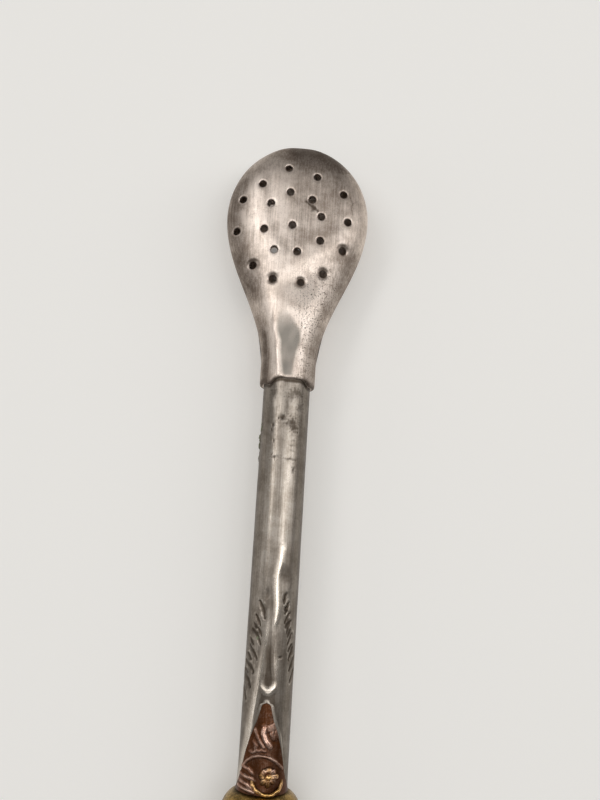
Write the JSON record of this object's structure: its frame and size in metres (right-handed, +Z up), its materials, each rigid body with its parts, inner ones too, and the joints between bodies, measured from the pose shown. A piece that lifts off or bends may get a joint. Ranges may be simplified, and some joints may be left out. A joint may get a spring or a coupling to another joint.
{
  "type": "bombilla",
  "caption": "Metal drinking straw for mate: a silver tube with a pull-off flattened strainer, a hollow gilt collar beside a gilt plaque, and a flattened gilt mouthpiece.",
  "frame": {"origin": "on the table under the middle of the straw's length", "axes": "+Y along the straw towards the strainer's tip, +Z up out of the strainer's front face, +X to the right"},
  "size_m": [0.0236, 0.196, 0.0124],
  "materials": {
    "aged_silver": "worn, with dark tarnish in the cuts",
    "pierced_silver": "satin, with fine lengthwise scratches",
    "worn_gilt": "worn red gold, dark in the recesses",
    "collar_gilt": "satin gilt with a dull patina"
  },
  "bodies": {
    "stem": {"stem_tube": "aged_silver", "arch_border": "aged_silver", "gilt_plaque": "worn_gilt", "medallion_wire": "worn_gilt", "rosette": "worn_gilt", "rosette_pin": "worn_gilt", "collar_lower_cup": "collar_gilt", "collar_band": "collar_gilt", "collar_upper_cup": "collar_gilt", "mouth_ferrule": "collar_gilt", "mouthpiece": "collar_gilt"},
    "strainer": {"strainer_front": "pierced_silver", "strainer_back": "pierced_silver"}
  },
  "joints": [
    {"name": "strainer_pull", "type": "slide", "parent": "stem", "child": "strainer", "axis": [0, 1, 0], "range_m": [0, 0.025]}
  ]
}
